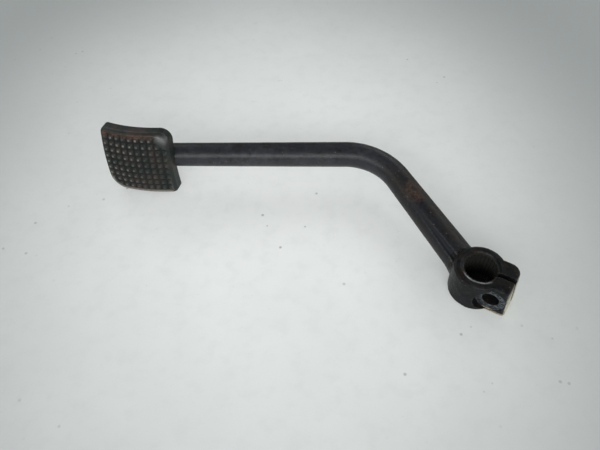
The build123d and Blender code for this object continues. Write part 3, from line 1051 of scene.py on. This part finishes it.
def pale_table():
    """A pale board, clouded and lightly marked, darker towards its edges as a painted pool of light,
    glowing a little as painted fill light, with painted shade on the floor under the bore.
    """
    nodes = Nodes("pale_table")
    broad = nodes.noise(90 * MM, 3.0)
    fine = nodes.noise(7 * MM, 6.0, 0.6)
    colour = nodes.mix(nodes.ramp(broad, 0.35, 0.65), TABLE, TABLE_PALE)
    colour = nodes.mix(nodes.ramp(fine, 0.45, 0.7, 0.0, 0.25), colour, TABLE_CLOUD)
    marks = nodes.times(nodes.ramp(nodes.cells(9 * MM), 0.10, 0.05), nodes.ramp(broad, 0.5, 0.6))
    dots = nodes.ramp(nodes.cells(3.1 * MM), 0.10, 0.05)
    dots = nodes.times(dots, nodes.ramp(nodes.noise(40 * MM), 0.50, 0.62))
    marks = nodes.larger(marks, nodes.times(dots, 0.35))
    scratches = nodes.ramp(nodes.noise(14 * MM, 7.0, 0.75, 3.0), 0.655, 0.70)
    marks = nodes.larger(marks, nodes.times(scratches, 0.35))
    colour = nodes.mix(nodes.times(marks, 0.6), colour, TABLE_MARK)
    # painted pool of light: the board darkens away from its middle
    outside_light_pool = nodes.ramp(nodes.distance_from(LIGHT_POOL_MIDDLE, LIGHT_POOL_SPAN), 0.15, 1.0)
    colour = nodes.mix(outside_light_pool, colour, TABLE_PAINTED_FALLOFF)
    # painted shade: the floor under the bore is dark, where the boss shades it
    open_floor = nodes.ramp(nodes.distance_from((0.0, 0.0, 0.0), [BORE_RADIUS] * 3), 1.15, 1.30)
    colour = nodes.mix(open_floor, BORE_FLOOR_SHADE, colour)
    # painted fill light: the board glows, which lifts its shadows
    glow = nodes.times(open_floor, TABLE_GLOW)
    nodes.set(Base_Color=colour, Roughness=0.55, Normal=nodes.bump(fine, 0.05 * MM, 0.3))
    nodes.set(Emission_Color=colour, Emission_Strength=glow)
    return nodes.material


# ---------------------------------------------------------------- stage
def make_floor():
    signs = [(-1, -1), (1, -1), (1, 1), (-1, 1)]
    corners = [(x * TABLE_HALF, y * TABLE_HALF, cad_low.z) for x, y in signs]
    floor = make_piece("table_top", corners, [(0, 1, 2, 3)])
    floor.data.materials.append(pale_table())


def area_light(name, place, target, width, height, power):
    lamp = bpy.data.lights.new(name, "AREA")
    lamp.shape = "RECTANGLE"
    lamp.size = width
    lamp.size_y = height
    lamp.energy = power
    lamp.color = WINDOW_COLOUR
    holder = bpy.data.objects.new(name, lamp)
    holder.location = place
    holder.rotation_euler = (target - place).to_track_quat("-Z", "Y").to_euler()
    bpy.context.scene.collection.objects.link(holder)


def make_light():
    middle = (cad_low + cad_high) / 2
    flat = WINDOW_DISTANCE * math.cos(WINDOW_RISE)
    rise = WINDOW_DISTANCE * math.sin(WINDOW_RISE)
    for number, (bearing, power) in enumerate(WINDOWS):
        turn = math.radians(bearing)
        place = middle + Vector((flat * math.sin(turn), -flat * math.cos(turn), rise))
        area_light("window_%d" % number, place, middle, *WINDOW_SIZE, power)
    world = bpy.data.worlds.new("room")
    world.use_nodes = True
    tree = world.node_tree
    room = tree.nodes["Background"]
    room.inputs["Color"].default_value = ROOM_COLOUR
    room.inputs["Strength"].default_value = ROOM_STRENGTH
    backdrop = tree.nodes.new("ShaderNodeBackground")
    backdrop.inputs["Color"].default_value = ROOM_COLOUR
    backdrop.inputs["Strength"].default_value = BACKDROP_STRENGTH
    seen = tree.nodes.new("ShaderNodeLightPath").outputs["Is Camera Ray"]
    chosen = tree.nodes.new("ShaderNodeMixShader")
    tree.links.new(seen, chosen.inputs[0])
    tree.links.new(room.outputs[0], chosen.inputs[1])
    tree.links.new(backdrop.outputs[0], chosen.inputs[2])
    tree.links.new(chosen.outputs[0], tree.nodes["World Output"].inputs["Surface"])
    bpy.context.scene.world = world
    bpy.context.scene.view_settings.view_transform = "Standard"


def make_camera():
    data = bpy.data.cameras.new("camera")
    data.lens = CAMERA_LENS
    data.sensor_width = CAMERA_SENSOR
    data.clip_start = CAMERA_NEAR
    camera = bpy.data.objects.new("camera", data)
    camera.location = CAMERA_PLACE
    camera.rotation_euler = (CAMERA_TILT, 0.0, 0.0)
    bpy.context.scene.collection.objects.link(camera)
    bpy.context.scene.camera = camera


make_camera()
make_floor()
make_light()

bar_paint = old_paint("bar_paint", PAINT, PAINT_FADED, 0.0, 0.10, 0.30, on_bar=True)
boss_paint = old_paint("boss_paint", OILY_PAINT, OILY_FADED, 0.02, 0.25, 0.12, on_boss=True)
weld_paint = old_paint("weld_paint", OILY_PAINT, OILY_FADED, 0.04, 0.3, 0.16)
plate_paint = old_paint("plate_paint", PAINT, PAINT_FADED, 0.08, 0.4, 0.25)
rubber = aged_rubber()

finish_piece(clamp_boss(), boss_paint, "boss_steel", "clamp_boss")
finish_piece(lever_arm(), bar_paint, "bar_paint", "lever_arm")
finish_piece(boss_collar(), weld_paint, "weld", "boss_weld")
finish_piece(foot_plate(), plate_paint, "plate_paint", "foot_plate")
finish_piece(foot_plate_weld(), weld_paint, "weld", "foot_plate_weld")
finish_piece(pad_rubber(), rubber, "rubber", "pad_rubber")
